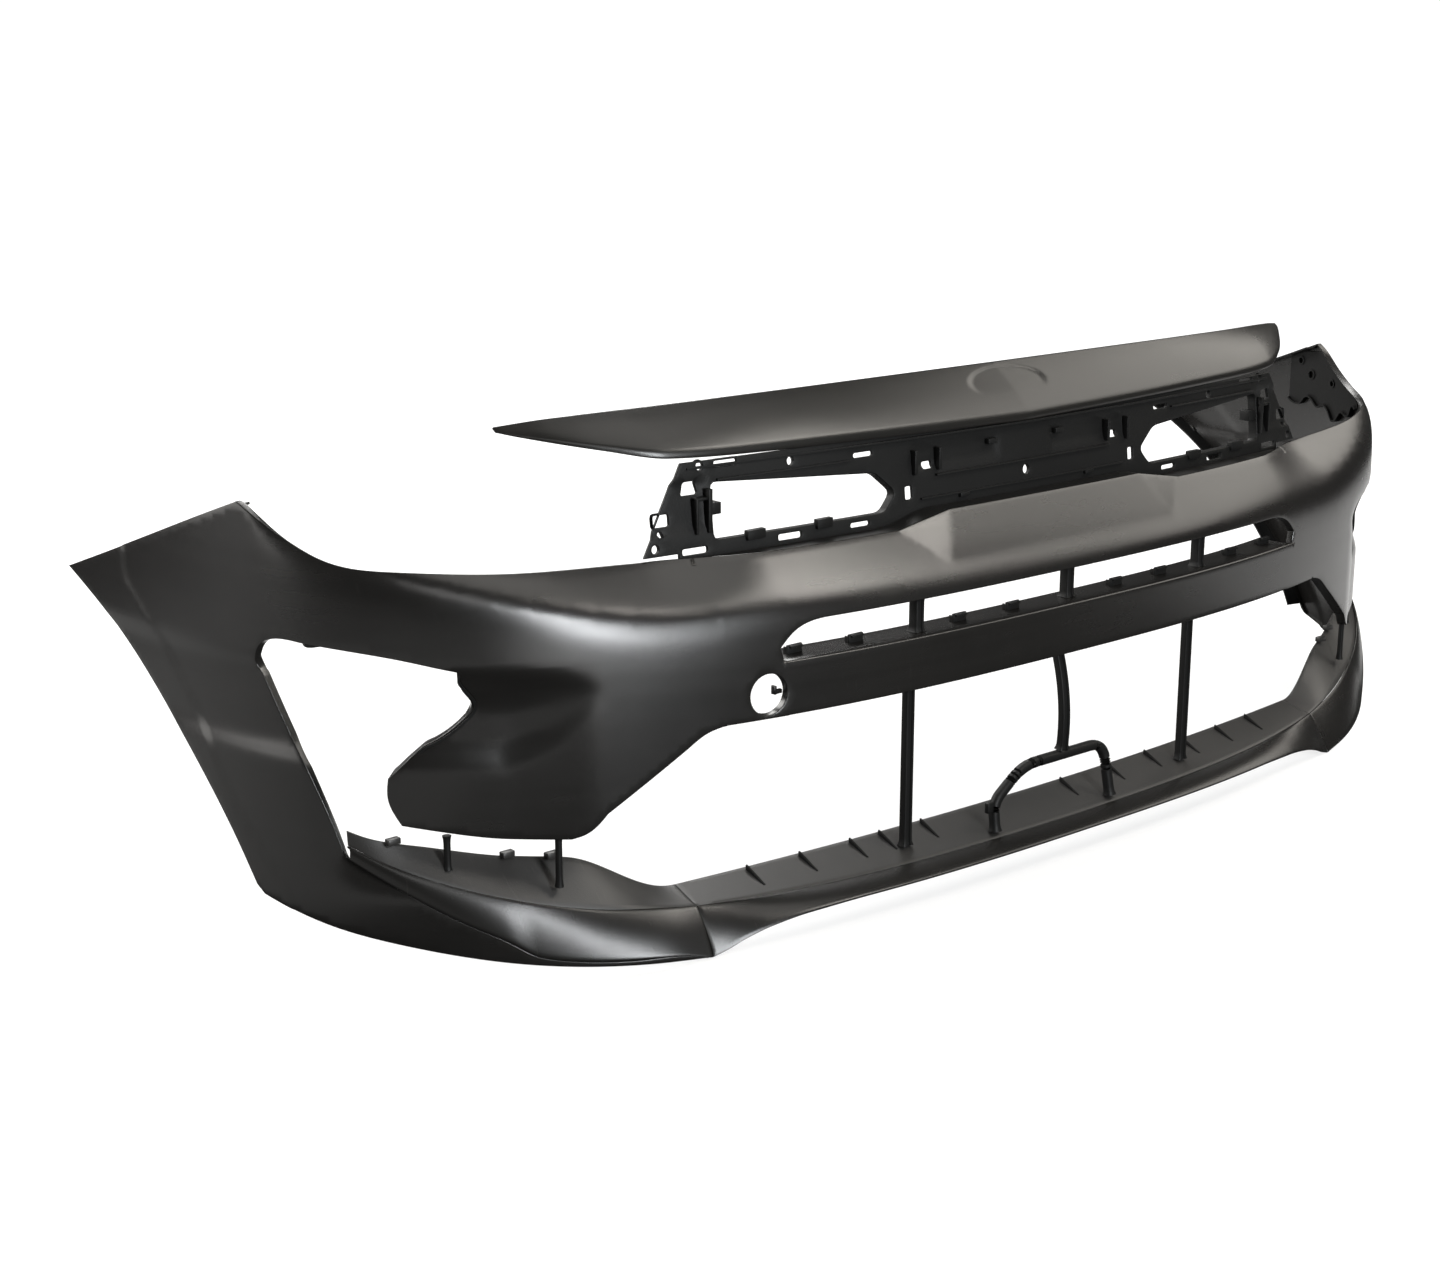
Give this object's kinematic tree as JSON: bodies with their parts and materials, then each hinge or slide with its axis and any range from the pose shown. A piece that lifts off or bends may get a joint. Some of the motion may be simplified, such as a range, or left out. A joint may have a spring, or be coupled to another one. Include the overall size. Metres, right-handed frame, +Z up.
{
  "type": "bumper cover",
  "caption": "Unpainted front bumper cover with upper panel, open grille frame, slot, intake with posts, fog openings, lip and mounting flanges.",
  "frame": {"origin": "centre of the bounding box's bottom: on the symmetry plane, mid depth, at the lip's lowest edge", "axes": "+X is the car's left, the face looks along -Y, +Z is up"},
  "size_m": [1.7566, 0.6492, 0.5305],
  "materials": {
    "skin_pp": "satin",
    "lip_pp": "satin",
    "grained_pp": "matte"
  },
  "bodies": {
    "root": {"arch_flange_left": "grained_pp", "arch_flange_right": "grained_pp", "center_band": "skin_pp", "center_hoop": "grained_pp", "cheek_ties_left": "grained_pp", "cheek_ties_right": "grained_pp", "fender_flange_left": "grained_pp", "fender_flange_right": "grained_pp", "fog_bezel_left": "grained_pp", "fog_bezel_right": "grained_pp", "grille_frame": "grained_pp", "headlamp_bracket_left": "grained_pp", "headlamp_bracket_right": "grained_pp", "intake_post_center": "grained_pp", "intake_post_left": "grained_pp", "intake_post_right": "grained_pp", "intake_shelf": "grained_pp", "ledge_clips": "grained_pp", "lower_lip_center": "lip_pp", "lower_lip_left": "lip_pp", "lower_lip_right": "lip_pp", "number_plate_bar": "skin_pp", "shelf_ribs": "grained_pp", "slit_shelf_left": "grained_pp", "slit_shelf_right": "grained_pp", "slot_post_center": "grained_pp", "slot_post_left": "grained_pp", "slot_post_right": "grained_pp", "upper_panel": "skin_pp", "wing_left": "skin_pp", "wing_right": "skin_pp"}
  },
  "joints": []
}
